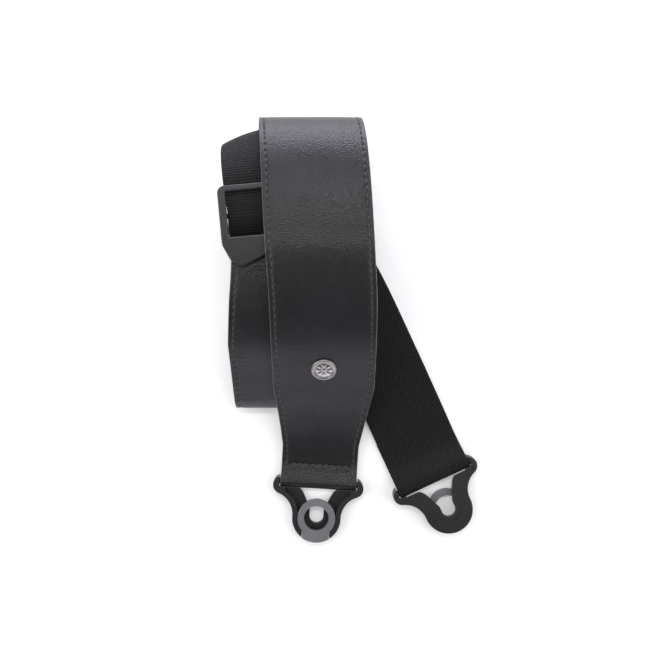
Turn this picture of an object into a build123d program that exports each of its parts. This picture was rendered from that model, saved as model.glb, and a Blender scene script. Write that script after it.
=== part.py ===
"""Adjustable guitar strap with self-locking end connectors, lying loosely coiled on a table.

Units are millimetres, +Z is up and the table top is Z = 0.  +Y runs along the length of the
coil and +X across it.  The origin ends up under the middle of the whole object.

The strap is one band: front connector, leather top layer, outer bend, leather along the table,
tight inner bend, leather middle layer, slider, webbing, webbing bend, webbing diagonally across
the table, rear connector.  Every band is a list of stations (a centre point, the direction of
its width and half its width) lofted with a rectangular section.
"""
import os
from math import atan2, cos, hypot, pi, radians, sin

from build123d import *

os.makedirs("parts", exist_ok=True)

# ---------------------------------------------------------------- strap materials
LEATHER_W = 63.5            # a 2.5 inch strap
LEATHER_FRONT_W = 50.0      # both ends narrow to pass through 2 inch hardware
LEATHER_REAR_W = 48.2
FACE_T = 1.6                # grain leather
BACK_T = 1.4                # soft backing glued and sewn under it
WEB_W = 50.4                # 2 inch webbing
WEB_T = 1.6
LOOP_GAP = 0.15             # play between a bar and the band folded round it
LEAF = 0.05                 # gap left between layers that only lie on each other
TABLE_LIFT = 0.35           # the seam threads stand the leather this far off the table

# ---------------------------------------------------------------- coil, side view (Y, Z)
TOP_PEAK_Z = 61.2           # middle of the face leather at the highest place
OUTER_BEND_Y = 127.3        # farthest reach of the outer bend
OUTER_BEND_Z = 26.0
CROWN_Y = 56.0              # where the top layer starts down into the outer bend
TABLE_Y = 97.0              # where the outer bend meets the table
INNER_BEND_Y = -55.15       # farthest reach of the tight bend under the top layer
INNER_BEND_Z = 6.7
INNER_LOW = 7.5             # lengths of the bend's lower and upper quarters
INNER_HIGH = (25.4, 13.7)
RISE_FROM = 140.0           # where on the upper quarter the middle layer leaves it

# ---------------------------------------------------------------- connector (u, v, w)
RING_R = 12.35              # lock ring, outside
RING_BORE_R = 8.1           # clears a strap button head 14 to 15 mm across
BODY_R = 15.9
NECK_R = 4.6                # slot for the neck of the strap button
EAR_R = 6.0
EAR_U = 23.7
EAR_V = 20.6
WAIST_V = 1.0
RIM_T = 3.3
RIM_W = 7.8                 # height of the side walls
PLATE_W = 3.2
RING_W0 = 5.0
RING_W1 = 8.6
TAB_HALF = 9.0
TAB_GAP = 0.3
BAR_R = 2.0
BAR_V = 22.5
BAR_W = 3.8
SLOT_HALF = 26.0
SLOT_V = 18.0
PIVOT_V = -10.3
PIVOT_W = 5.9
PIN_R = 0.8
PIN_FIT = 0.05
SPRING_WIRE_R = 0.22
SPRING_COIL_R = 1.2
SPRING_TURNS = 7
BACK_ROUND = 0.8            # moulded edge radii
RIM_ROUND = 0.4
RING_ROUND = 0.4

# ---------------------------------------------------------------- slider (p, q, r)
SLIDER_HALF = 29.5
SLIDER_TOP_Q = 31.1
SLIDER_T = 2.2
SLIDER_ROUND = 0.9
SIDE_DEPTH = 7.0
WINDOW_HALF = 24.8
WINDOW_Q0 = 0.7
WINDOW_Q1 = 27.5
CENTER_BAR_Q = 13.9
CENTER_BAR_R = 1.6
CENTER_BAR_DEPTH = 5.7
LOOP_BAR_Q = -6.5
LOOP_BAR_R = 1.5
LOOP_BAR_DEPTH = 6.4

# ---------------------------------------------------------------- badge
BADGE_R = 7.8
BADGE_T = 1.5
POST_R = 1.2
WASHER_R = 4.0
WASHER_T = 0.6

# ---------------------------------------------------------------- placing (plan view)
FRONT_RING = (-4.05, -128.3)
FRONT_TURN = -3.5           # degrees, plan view
REAR_RING = (82.6, -122.4)
REAR_TURN = 24.9
SLIDER_AT = (-30.0, 51.3, 55.5)
SLIDER_TURN = 5.0
BADGE_Y = -28.5


# ================================================================ small helpers
def turned(at, turn, side, along):
    """Plan point reached from `at` by going `side` across and `along` up a frame turned `turn`."""
    c, s = cos(radians(turn)), sin(radians(turn))
    return at[0] + side * c - along * s, at[1] + side * s + along * c


def ramp(value, low, high):
    return min(1.0, max(0.0, (value - low) / (high - low)))


def mix(a, b, t):
    return tuple(p + (q - p) * t for p, q in zip(a, b))


def through(knots, steps):
    """Smooth curve through knots of any dimension, `steps` stations per span."""
    ends = [mix(knots[1], knots[0], 2.0)] + list(knots) + [mix(knots[-2], knots[-1], 2.0)]
    out = []
    for k in range(1, len(ends) - 2):
        p0, p1, p2, p3 = ends[k - 1 : k + 3]
        d0, d1, d2 = (hypot(*[b - a for a, b in zip(u, v)]) ** 0.5
                      for u, v in ((p0, p1), (p1, p2), (p2, p3)))
        for i in range(steps):
            t = i / steps
            point = []
            for a, b, c, d in zip(p0, p1, p2, p3):
                m1 = (b - a) / d0 - (c - a) / (d0 + d1) + (c - b) / d1
                m2 = (c - b) / d1 - (d - b) / (d1 + d2) + (d - c) / d2
                m1, m2 = m1 * d1, m2 * d1
                h = (2 * t**3 - 3 * t**2 + 1, t**3 - 2 * t**2 + t, -2 * t**3 + 3 * t**2, t**3 - t**2)
                point.append(h[0] * b + h[1] * m1 + h[2] * c + h[3] * m2)
            out.append(tuple(point))
    return out + [tuple(knots[-1])]


def bend(at, turn, z, r_along, r_up, start, end, steps, drift=0.0):
    """Stations round a bend whose axis lies across the band; angles in degrees, 90 is up."""
    out = []
    for i in range(steps + 1):
        t = i / steps
        a = radians(start + (end - start) * t)
        x, y = turned(at, turn, drift * t, r_along * cos(a))
        out.append((x, y, z + r_up * sin(a), turn))
    return out


def lengths(path):
    out = [0.0]
    for a, b in zip(path, path[1:]):
        out.append(out[-1] + hypot(*[q - p for p, q in zip(a[:3], b[:3])]))
    return out


def stations(path, half_width):
    """(centre, width direction, outward normal, half width, bow) for every point of a path."""
    out = []
    for i, (x, y, z, turn, *bow) in enumerate(path):
        a, b = path[max(i - 1, 0)], path[min(i + 1, len(path) - 1)]
        tangent = Vector(b[0] - a[0], b[1] - a[1], b[2] - a[2]).normalized()
        across = Vector(cos(radians(turn)), sin(radians(turn)), 0)
        normal = across.cross(tangent).normalized()
        out.append((Vector(x, y, z), across, normal, half_width[i], bow[0] if bow else 0.0))
    return out


def strip(rows, low, high, parts=1):
    """Loft a band between offsets low..high of its middle. A bowed station's edges lie that far
    inside its middle, so its section has several parts."""
    wires = []
    for centre, across, normal, half, bow in rows:
        spread = [2 * k / parts - 1 for k in range(parts + 1)]
        line = [centre + across * (t * half) - normal * (bow * t * t) for t in spread]
        corners = [p + normal * low for p in line] + [p + normal * high for p in reversed(line)]
        wires.append(Wire.make_polygon(corners, close=True))
    return Solid.make_loft(wires, ruled=True)


# ================================================================ the leather band
FRONT_BAR = turned(FRONT_RING, FRONT_TURN, 0, BAR_V)
FACE_LOOP_R = BAR_R + LOOP_GAP + FACE_T / 2
SLIDER_BAR = turned(SLIDER_AT, SLIDER_TURN, 0, LOOP_BAR_Q)
SLIDER_BAR_Z = SLIDER_AT[2] - LOOP_BAR_DEPTH
REAR_LOOP_R = LOOP_BAR_R + LOOP_GAP + FACE_T / 2
PLY_FRONT = 23.0            # length of the turned-under leather at each end
PLY_REAR = 22.0
STITCH_FRONT = 12.3         # cross seam, measured from the bar
STITCH_REAR = 14.0


def front_fold():
    """Turned-under ply and the fold round the front connector's bar."""
    back = turned(FRONT_BAR, FRONT_TURN, 0, PLY_FRONT)
    low = BAR_W - FACE_LOOP_R
    flat = [(*mix(back, FRONT_BAR, k / 4), low, FRONT_TURN) for k in range(4)]
    return flat + bend(FRONT_BAR, FRONT_TURN, BAR_W, FACE_LOOP_R, FACE_LOOP_R, 270, 90, 14)


def front_rise():
    seam = turned(FRONT_BAR, FRONT_TURN, 0, STITCH_FRONT)
    knots = [
        (*turned(FRONT_BAR, FRONT_TURN, 0, 0), BAR_W + FACE_LOOP_R, FRONT_TURN),
        (*seam, 4.0, FRONT_TURN),
        (-1.0, -78.0, 7.4, -2.0),
        (0.1, -61.5, 14.6, -0.6),
        (0.8, -41.2, 26.3, 0.0),
        (0.7, -8.5, 46.8, 0.0),
        (0.3, 13.6, 55.4, 0.0),
        (-1.2, 40.0, 60.9, 0.0),
        (-2.1, CROWN_Y, TOP_PEAK_Z, 0.0),
    ]
    return through(knots, 5)[1:-1]


def outer_bend():
    up = OUTER_BEND_Y - CROWN_Y
    down = OUTER_BEND_Y - TABLE_Y
    low = FACE_T / 2 + TABLE_LIFT
    top = bend((-2.1, CROWN_Y), 0, OUTER_BEND_Z, up, TOP_PEAK_Z - OUTER_BEND_Z, 90, 0, 16, -6.3)
    under = bend((-8.4, TABLE_Y), 0, OUTER_BEND_Z, down, OUTER_BEND_Z - low, 0, -90, 10, -3.2)
    return top + under[1:]


def table_run():
    low = FACE_T / 2 + TABLE_LIFT
    return through([(-11.6, TABLE_Y, low, 0.0), (-18.0, 25.0, low, 0.0),
                    (-23.8, INNER_BEND_Y + INNER_LOW, low, 0.0)], 5)[1:-1]


def inner_bend():
    low = FACE_T / 2 + TABLE_LIFT
    under = bend((-23.8, INNER_BEND_Y + INNER_LOW), 0, INNER_BEND_Z, INNER_LOW, INNER_BEND_Z - low,
                 270, 180, 6, -0.6)
    above = bend((-24.4, INNER_BEND_Y + INNER_HIGH[0]), 0, INNER_BEND_Z, *INNER_HIGH,
                 180, RISE_FROM, 5, -0.6)
    return under + above[1:]


def middle_rise(start):
    knots = [
        start,
        (-25.4, -32.5, 26.2, 0.0),
        (-26.1, -9.0, 40.8, 0.6),
        (-27.3, 13.0, 48.9, 2.5),
        (*turned(SLIDER_BAR, SLIDER_TURN, 0, -STITCH_REAR), SLIDER_BAR_Z + REAR_LOOP_R - 0.3, SLIDER_TURN),
        (*SLIDER_BAR, SLIDER_BAR_Z + REAR_LOOP_R, SLIDER_TURN),
    ]
    return through(knots, 6)[1:-1]


def rear_fold():
    loop = bend(SLIDER_BAR, SLIDER_TURN, SLIDER_BAR_Z, REAR_LOOP_R, REAR_LOOP_R, 90, -90, 12)
    low = SLIDER_BAR_Z - REAR_LOOP_R
    end = turned(SLIDER_BAR, SLIDER_TURN, 0, -PLY_REAR)
    return loop + [(*mix(SLIDER_BAR, end, k / 4), low - 0.1 * k, SLIDER_TURN) for k in range(1, 5)]


def leather_paths():
    """The whole face leather and the part of it that carries the backing."""
    fold = front_fold()
    bend_in = inner_bend()
    top = front_rise() + outer_bend() + table_run() + bend_in + middle_rise(bend_in[-1])
    return fold, top, rear_fold()


def leather_halves(path, first, last):
    """Half widths along the face leather: full width narrowing to the hardware at both ends."""
    run = lengths(path)
    out = []
    for s in run:
        near = ramp(s - run[first], 26.0, 70.0)
        far = ramp(run[last] - s, -2.5, 60.0)
        out.append(min(LEATHER_FRONT_W + (LEATHER_W - LEATHER_FRONT_W) * near,
                       LEATHER_REAR_W + (LEATHER_W - LEATHER_REAR_W) * far) / 2)
    return out


# ================================================================ the webbing
REAR_BAR = turned(REAR_RING, REAR_TURN, 0, BAR_V)
REAR_BAR_Z = RING_W1 - BAR_W + LEAF       # this connector lies ring side down
WEB_LOOP_R = BAR_R + LOOP_GAP + WEB_T / 2
WEB_PLY = 34.0              # turned-under webbing at the rear connector


def slider_point(q, r, p=0.0):
    return (*turned(SLIDER_AT, SLIDER_TURN, p, q), SLIDER_AT[2] + r, SLIDER_TURN)


def webbing_path():
    """Free tail, over the slider's centre bar, round its own bend and along to the rear bar."""
    over = -CENTER_BAR_DEPTH + CENTER_BAR_R + LOOP_GAP + WEB_T / 2
    knots = [
        (-25.8, -17.0, 31.0, 1.0, 0.0),
        (-26.1, -6.0, 37.4, 1.5, 0.0),
        (-27.1, 8.0, 42.0, 3.0, 0.0),
        (*slider_point(-24.0, -12.2), 0.0),
        (*slider_point(-8.0, -11.5), 0.0),
        (*slider_point(-1.0, -9.6), 0.0),
        (*slider_point(4.6, -6.2, -0.4), 0.0),
        (*slider_point(9.4, over - 0.9, -0.5), 0.0),
        (*slider_point(CENTER_BAR_Q, over, -0.5), 0.0),
        (*slider_point(18.4, over - 0.8, -0.5), 0.0),
        (*slider_point(25.0, -5.0, -0.6), 0.0),
        (*slider_point(31.0, -5.6, -0.8), 0.0),
        (*slider_point(40.0, -6.4, -1.2), 0.6),
    ]
    table = WEB_T / 2 + TABLE_LIFT + 2 * LEAF + FACE_T + BACK_T
    seam = turned(REAR_BAR, REAR_TURN, 0, 16.0)
    far = [
        (-36.8, 105.5, 43.4, 8.0, 2.4),
        (-37.9, 116.0, 35.5, 10.5, 3.6),
        (-37.8, 120.2, 26.5, 13.5, 4.0),
        (-36.3, 115.5, 15.0, 17.5, 3.4),
        (-32.0, 104.5, 7.6, 21.5, 1.8),
        (-24.0, 90.5, table + 0.9, 24.0, 0.5),
        (-6.5, 60.0, table + 0.1, REAR_TURN + 1.0, 0.0),
        (15.3, 22.6, table, REAR_TURN, 0.0),
        (38.9, -27.0, table, REAR_TURN, 0.0),
        (53.2, -58.0, 2.3, REAR_TURN, 0.0),
        (*seam, WEB_T / 2 + WEB_T + 0.2, REAR_TURN, 0.0),
        (*turned(REAR_BAR, REAR_TURN, 0, 3.5), REAR_BAR_Z + WEB_LOOP_R - 0.25, REAR_TURN, 0.0),
        (*REAR_BAR, REAR_BAR_Z + WEB_LOOP_R, REAR_TURN, 0.0),
    ]
    return through(knots + far, 5)[:-1]


def rear_web_fold():
    """Round the rear bar and back underneath; the band arrives here heading away from the coil."""
    loop = bend(REAR_BAR, REAR_TURN, REAR_BAR_Z, WEB_LOOP_R, WEB_LOOP_R, 90, 270, 14)
    end = turned(REAR_BAR, REAR_TURN, 0, WEB_PLY)
    low = WEB_T / 2 + LEAF
    knots = [loop[-1], (*turned(REAR_BAR, REAR_TURN, 0, 14.0), low, REAR_TURN), (*end, low, REAR_TURN)]
    return loop + through(knots, 4)[1:]


# ================================================================ stitching
THREAD_W = 0.8
THREAD_H = 0.3
SEAM_IN = 3.0               # edge seam to cut edge


def edge_seam(rows, side):
    """One edge's thread, lying on the grain side a set distance in from the cut edge."""
    wires = []
    for centre, across, normal, half, _ in rows:
        mid = centre + across * (side * (half - SEAM_IN)) + normal * (FACE_T / 2)
        w = across * (THREAD_W / 2)
        h = normal * THREAD_H
        wires.append(Wire.make_polygon([mid - w, mid + w, mid + w + h, mid - w + h], close=True))
    return Solid.make_loft(wires, ruled=True)


def cross_seam(row, half, pitch=4.3, length=2.8, on=FACE_T / 2):
    """A row of separate stitches across a band at one station."""
    centre, across, normal, *_ = row
    count = int(half / pitch)
    stitches = []
    for k in range(-count, count + 1):
        at = centre + across * (k * pitch) + normal * (on + THREAD_H / 2)
        place = Location(Plane(origin=at, x_dir=across, z_dir=normal))
        stitches.append(place * Box(length, THREAD_W, THREAD_H))
    return stitches


# ================================================================ connector, in its own frame
def body_outline(inset=0.0):
    """Wishbone outline: round nose, hollow waist tangent to it, round ears."""
    rise = EAR_V - WAIST_V
    waist = (rise**2 + (EAR_U - BODY_R) ** 2 - EAR_R**2) / (2 * (EAR_R + EAR_U - BODY_R))
    waist_u = BODY_R + waist
    reach = hypot(EAR_U - waist_u, rise)
    touch = (waist_u + (EAR_U - waist_u) * (waist + inset) / reach, WAIST_V + rise * (waist + inset) / reach)
    r, ear, wr = BODY_R - inset, EAR_R - inset, waist + inset
    bow = pi - atan2(touch[1] - WAIST_V, waist_u - touch[0]) / 2
    mid = (waist_u + wr * cos(bow), WAIST_V + wr * sin(bow))
    ear_low = atan2(touch[1] - EAR_V, touch[0] - EAR_U)
    ear_mid = (ear_low + pi / 2) / 2
    with BuildSketch() as flat:
        with BuildLine():
            Line((0, -r), (0, EAR_V + ear))
            Line((0, EAR_V + ear), (EAR_U, EAR_V + ear))
            ThreePointArc((EAR_U, EAR_V + ear), (EAR_U + ear * cos(ear_mid), EAR_V + ear * sin(ear_mid)), touch)
            ThreePointArc(touch, mid, (r, WAIST_V))
            Line((r, WAIST_V), (r, 0))
            ThreePointArc((r, 0), (r * cos(-pi / 4), r * sin(-pi / 4)), (0, -r))
        make_face()
        mirror(about=Plane.YZ)
    return flat.sketch


def button_opening():
    """Funnel that lets the strap button's head in, and the slot for its neck."""
    with BuildSketch() as flat:
        with BuildLine():
            Line((0, SLOT_V + 1), (13.4, SLOT_V + 1))
            Line((13.4, SLOT_V + 1), (13.2, SLOT_V))
            Spline((13.2, SLOT_V), (10.2, 15.8), (7.9, 11.6), (5.9, 6.4), tangents=[(-1, -0.25), (-0.25, -1)])
            Line((5.9, 6.4), (5.2, 5.2))
            Line((5.2, 5.2), (NECK_R, 4.0))
            Line((NECK_R, 4.0), (NECK_R, 0))
            ThreePointArc((NECK_R, 0), (NECK_R * cos(pi / 4), -NECK_R * sin(pi / 4)), (0, -NECK_R))
            Line((0, -NECK_R), (0, SLOT_V + 1))
        make_face()
        mirror(about=Plane.YZ)
    return flat.sketch


def block(u0, u1, v0, v1, w0, w1):
    middle = ((u0 + u1) / 2, (v0 + v1) / 2, (w0 + w1) / 2)
    return Pos(*middle) * Box(u1 - u0, v1 - v0, w1 - w0)


def cross_rod(radius, half, v, w):
    return Pos(0, v, w) * Rot(0, 90, 0) * Cylinder(radius, 2 * half)


def edges_at(solid, w):
    return [e for e in solid.edges() if abs(e.center().Z - w) < 0.01]


def connector_body():
    whole = extrude(body_outline(), RIM_W)
    whole = fillet(edges_at(whole, 0.0), BACK_ROUND)
    plate = whole & block(-40, 40, -40, 40, 0, PLATE_W)
    walls = whole - extrude(body_outline(RIM_T), RIM_W)
    ears = whole & block(-40, 40, SLOT_V - 4.5, 40, 0, RIM_W)
    ears -= block(-21.5, 21.5, SLOT_V - 5, 40, PLATE_W, RIM_W + 1)
    body = plate + walls + ears
    body -= block(-SLOT_HALF, SLOT_HALF, SLOT_V, 40, -1, RIM_W + 1)
    body -= extrude(button_opening(), RIM_W + 1)
    notch = TAB_HALF + TAB_GAP
    body -= block(-notch, notch, -BODY_R - 1, -6.0, PLATE_W, RIM_W + 1)
    body -= block(-notch, notch, -BODY_R - 1, PIVOT_V, 1.6, RIM_W + 1)
    body = fillet(edges_at(body, RIM_W), RIM_ROUND)
    body += cross_rod(BAR_R, SLOT_HALF + 1.0, BAR_V, BAR_W)
    body -= cross_rod(PIN_R, notch + 2.2, PIVOT_V, PIVOT_W)
    groove = Pos(0, 0, -0.01) * extrude(Circle(NECK_R + 3.2) - Circle(NECK_R + 2.6), 0.4)
    groove &= block(-20, 20, -20, -3.0, -1, 1)
    return body - groove


def lock_ring():
    ring = Pos(0, 0, RING_W0) * extrude(Circle(RING_R), RING_W1 - RING_W0)
    nose = Pos(0, 0, RING_W0) * extrude(Circle(BODY_R - 0.1), RING_W1 - RING_W0)
    ring += nose & block(-TAB_HALF, TAB_HALF, -BODY_R, PIVOT_V + 1.6, RING_W0, RING_W1)
    ring += block(-TAB_HALF, TAB_HALF, PIVOT_V - 1.9, PIVOT_V + 1.9, PIVOT_W - 1.9, RING_W1)
    ring -= Pos(0, 0, RING_W0 - 2) * extrude(Circle(RING_BORE_R), 8)
    ring -= cross_rod(PIN_R + PIN_FIT, 12, PIVOT_V, PIVOT_W)
    ring = fillet(edges_at(ring, RING_W1), RING_ROUND)
    half = SPRING_TURNS * SPRING_WIRE_R + 0.35
    return ring - block(-half, half, PIVOT_V - 1.55, PIVOT_V + 1.55, PIVOT_W - 3, PIVOT_W + 1.6)


def pivot_pin():
    return cross_rod(PIN_R, TAB_HALF + TAB_GAP + 2.2, PIVOT_V, PIVOT_W)


def torsion_spring():
    """Close-wound coil on the pivot pin with a foot on the plate."""
    with BuildSketch(Plane.XY) as wire:
        for k in range(SPRING_TURNS):
            with Locations(((k - (SPRING_TURNS - 1) / 2) * 1.9 * SPRING_WIRE_R, SPRING_COIL_R)):
                Circle(SPRING_WIRE_R)
    coil = revolve(wire.sketch, Axis.X, 360)
    foot_u = (SPRING_TURNS - 1) / 2 * 1.9 * SPRING_WIRE_R
    tall = PIVOT_W - PLATE_W
    foot = Pos(foot_u, SPRING_COIL_R, -tall / 2) * Cylinder(SPRING_WIRE_R, tall)
    return Pos(0, PIVOT_V, PIVOT_W) * (coil + foot)


# ================================================================ slider, in its own frame
def slider_outline():
    half = [(0, SLIDER_TOP_Q), (SLIDER_HALF, SLIDER_TOP_Q), (SLIDER_HALF - 0.2, -3.5),
            (24.6, -13.6), (18.6, -17.0), (0, -9.9)]
    points = half + [(-p, q) for p, q in half[-2:0:-1]]
    flat = make_face(Polyline(*points, close=True))
    corners = {1: 4.5, 2: 9.0, 3: 5.0, 4: 4.0}
    for index, radius in corners.items():
        p, q = half[index]
        ends = [v for v in flat.vertices() if abs(abs(v.X) - p) < 0.01 and abs(v.Y - q) < 0.01]
        flat = fillet(ends, radius)
    return flat


def slider_frame():
    plate = Pos(0, 0, -SLIDER_T) * extrude(slider_outline(), SLIDER_T)
    window = Pos(0, (WINDOW_Q0 + WINDOW_Q1) / 2, -5) * extrude(
        RectangleRounded(2 * WINDOW_HALF, WINDOW_Q1 - WINDOW_Q0, 1.5), 8)
    plate -= window
    plate = fillet(plate.edges().group_by(Axis.Z)[-1], SLIDER_ROUND)
    plate = fillet(plate.edges().group_by(Axis.Z)[0], 0.5)
    frame = plate
    for side in (-1, 1):
        p, half = side * 27.3, 1.2
        frame += block(p - half, p + half, CENTER_BAR_Q - 4, CENTER_BAR_Q + 4, -SIDE_DEPTH - 0.6, -1)
        p, half = side * 25.95, 0.95
        frame += block(p - half, p + half, LOOP_BAR_Q - 1.9, LOOP_BAR_Q + 1.9, -LOOP_BAR_DEPTH - 2, -1)
    frame += Pos(0, CENTER_BAR_Q, -CENTER_BAR_DEPTH) * Rot(0, 90, 0) * Cylinder(
        CENTER_BAR_R, 2 * 26.5)
    frame += Pos(0, LOOP_BAR_Q, -LOOP_BAR_DEPTH) * Rot(0, 90, 0) * Cylinder(
        LOOP_BAR_R, 2 * 25.5)
    return frame


# ================================================================ badge, in its own frame
def badge_cap():
    disc = extrude(Circle(BADGE_R), BADGE_T)
    disc = fillet(disc.edges().group_by(Axis.Z)[-1], 0.5)
    disc -= Pos(0, 0, BADGE_T - 0.4) * extrude(Circle(BADGE_R - 1.3), 1)
    return disc + Pos(0, 0, BADGE_T - 0.5) * extrude(Circle(3.0) - Circle(2.0), 0.4)


STACK_T = FACE_T + BACK_T + 0.1      # leather the rivet passes through


def badge_post():
    return Pos(0, 0, -STACK_T - WASHER_T) * extrude(Circle(POST_R), STACK_T + WASHER_T)


def badge_washer():
    ring = Circle(WASHER_R) - Circle(POST_R)
    return Pos(0, 0, -STACK_T - WASHER_T) * extrude(ring, WASHER_T)


# ================================================================ assembly
def frame_at(origin, turn, face_up=True):
    across = (cos(radians(turn)), sin(radians(turn)), 0)
    if not face_up:
        across = (-across[0], -across[1], 0)
    return Location(Plane(origin=origin, x_dir=across, z_dir=(0, 0, 1 if face_up else -1)))


def connector(name, place):
    return {
        f"{name}_connector_body": place * connector_body(),
        f"{name}_lock_ring": place * lock_ring(),
        f"{name}_pivot_pin": place * pivot_pin(),
        f"{name}_lock_spring": place * torsion_spring(),
    }


def leather_parts():
    fold, top, rear = leather_paths()
    path = fold + top + rear
    first, last = len(fold) - 1, len(fold) + len(top)
    rows = stations(path, leather_halves(path, first, last))
    run = lengths(path)
    b0 = next(i for i, s in enumerate(run) if s - run[first] > 9.5)
    b1 = next(i for i, s in enumerate(run) if run[last] - s < 8.0)
    at = min(range(first, last), key=lambda i: abs(rows[i][0].Y - BADGE_Y) + (rows[i][2].Z < 0) * 99
             + (i > first + 60) * 99)
    centre, across, normal, *_ = rows[at]
    badge = Location(Plane(origin=centre + normal * (FACE_T / 2), x_dir=across, z_dir=normal))
    hole = badge * (Pos(0, 0, -2) * Cylinder(POST_R, 12))
    face = strip(rows, -FACE_T / 2, FACE_T / 2) - hole
    backing = strip(rows[b0:b1], -FACE_T / 2 - BACK_T, -FACE_T / 2) - hole
    seam_f = next(i for i, s in enumerate(run) if s - run[first] > STITCH_FRONT)
    seam_r = next(i for i, s in enumerate(run) if run[last] - s < STITCH_REAR)
    main = rows[first + 2 : last - 2]
    clear = FACE_T / 2 + 0.1
    return {
        "leather_face": face,
        "leather_backing": backing,
        "edge_stitching_left": edge_seam(main, -1),
        "edge_stitching_right": edge_seam(main, 1),
        "front_fold_stitching": Compound(cross_seam(rows[seam_f], LEATHER_FRONT_W / 2 - 4.5, on=clear)),
        "slider_fold_stitching": Compound(cross_seam(rows[seam_r], LEATHER_REAR_W / 2 - 4.5, on=clear)),
        "badge_cap": badge * badge_cap(),
        "badge_rivet_post": badge * badge_post(),
        "badge_rivet_washer": badge * badge_washer(),
    }, rows, run


def webbing_parts():
    path = webbing_path() + rear_web_fold()
    rows = stations(path, [WEB_W / 2] * len(path))
    run = lengths(path)
    bar = len(webbing_path())
    box_at = next(i for i in range(len(rows)) if run[bar] - run[i] < 17.0)
    far_at = next(i for i in range(len(rows)) if run[bar] - run[i] < 30.0)
    seams = [cross_seam(rows[i], WEB_W / 2 - 4, on=-WEB_T / 2 - THREAD_H - 0.05) for i in (box_at, far_at)]
    thread = Compound([stitch for seam in seams for stitch in seam])
    return {"webbing": strip(rows, -WEB_T / 2, WEB_T / 2, parts=4), "webbing_fold_stitching": thread}, rows, run


def main():
    leather, rows, run = leather_parts()
    web, web_rows, web_run = webbing_parts()
    front = frame_at((*FRONT_RING, 0), FRONT_TURN)
    rear = frame_at((*REAR_RING, RING_W1 + LEAF), REAR_TURN, face_up=False)
    parts = {**leather, **web}
    parts["slider_frame"] = frame_at(SLIDER_AT, SLIDER_TURN) * slider_frame()
    parts.update(connector("front", front))
    parts.update(connector("rear", rear))
    boxes = [part.bounding_box() for part in parts.values()]
    low = [min(getattr(b.min, axis) for b in boxes) for axis in "XYZ"]
    high = [max(getattr(b.max, axis) for b in boxes) for axis in "XYZ"]
    shift = Pos(-(low[0] + high[0]) / 2, -(low[1] + high[1]) / 2, -low[2])
    for name, part in parts.items():
        export_step(shift * part, f"parts/{name}.step")
    print("box", low, high, "shift", shift.position)
    print("leather", round(run[-1], 1), "webbing", round(web_run[-1], 1))


main()
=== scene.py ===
"""Looks for the coiled guitar strap: leather, webbing, thread and badge are built here in mesh
code along the same centre lines as the CAD bands, and the hard parts get their materials."""
from math import atan, cos, hypot, pi, radians, sin

import bpy
import numpy as np
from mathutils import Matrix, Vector


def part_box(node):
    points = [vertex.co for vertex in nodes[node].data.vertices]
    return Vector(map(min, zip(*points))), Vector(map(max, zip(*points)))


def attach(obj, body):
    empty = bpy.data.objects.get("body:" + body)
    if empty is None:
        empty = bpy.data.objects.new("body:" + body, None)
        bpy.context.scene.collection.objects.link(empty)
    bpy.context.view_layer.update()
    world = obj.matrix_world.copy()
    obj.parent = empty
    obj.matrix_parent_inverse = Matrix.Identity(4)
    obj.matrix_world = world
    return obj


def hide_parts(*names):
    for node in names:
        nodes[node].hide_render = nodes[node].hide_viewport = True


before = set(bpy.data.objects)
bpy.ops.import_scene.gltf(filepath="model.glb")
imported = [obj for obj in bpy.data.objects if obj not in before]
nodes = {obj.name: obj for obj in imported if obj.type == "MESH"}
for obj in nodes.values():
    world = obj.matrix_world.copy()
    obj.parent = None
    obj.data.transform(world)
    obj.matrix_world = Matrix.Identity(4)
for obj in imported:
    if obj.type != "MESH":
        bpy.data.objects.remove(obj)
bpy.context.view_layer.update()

MM = 0.001
STEPS = 40                      # dense points per span of a centre line

# ---------------------------------------------------------------- sizes shared with the CAD, mm
LEATHER_W, LEATHER_FRONT_W, LEATHER_REAR_W, FACE_T, BACK_T = 63.5, 50.0, 48.2, 1.6, 1.4
WEB_W, WEB_T = 50.4, 1.6
LOOP_GAP, LEAF, TABLE_LIFT = 0.15, 0.05, 0.35
TOP_PEAK_Z, OUTER_BEND_Y, OUTER_BEND_Z, CROWN_Y, TABLE_Y = 61.2, 127.3, 26.0, 56.0, 97.0
INNER_BEND_Y, INNER_BEND_Z, INNER_LOW, INNER_HIGH, RISE_FROM = -55.15, 6.7, 7.5, (25.4, 13.7), 140.0
BAR_R, BAR_V, BAR_W, RING_W1 = 2.0, 22.5, 3.8, 8.6
PIVOT_V, PIVOT_W = -10.3, 5.9
CENTER_BAR_Q, CENTER_BAR_R, CENTER_BAR_DEPTH = 13.9, 1.6, 5.7
LOOP_BAR_Q, LOOP_BAR_R, LOOP_BAR_DEPTH = -6.5, 1.5, 6.4
FRONT_RING, FRONT_TURN = (-4.05, -128.3), -3.5
REAR_RING, REAR_TURN = (82.6, -122.4), 24.9
SLIDER_AT, SLIDER_TURN = (-30.0, 51.3, 55.5), 5.0
BADGE_Y = -28.5
PLY_FRONT, PLY_REAR, WEB_PLY = 23.0, 22.0, 34.0
STITCH_FRONT, STITCH_REAR = 12.3, 14.0
SEAM_IN = 3.0
STITCH = 4.4                    # stitch pitch
RIB = 1.7                       # pitch of the webbing's rows
EDGE_ROUND, BACK_EDGE_ROUND = 0.55, 0.45
GROOVE_DEPTH, HOLE_DEPTH, CUSHION, UNEVEN = 0.22, 0.55, 0.10, 0.07
WEAVE_LOW, WEAVE_BASE, WEAVE_CROWN = -0.36, 0.10, 0.34
PINCH, PINCH_LENGTH = 0.042, 8.0
CAMERA_HEIGHT, HALF_VIEW = 445.0, 215.0     # half of the table's width that the camera sees
FLOOR_HALF, FLOOR_Z = 1.3, -0.0002          # metres


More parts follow.
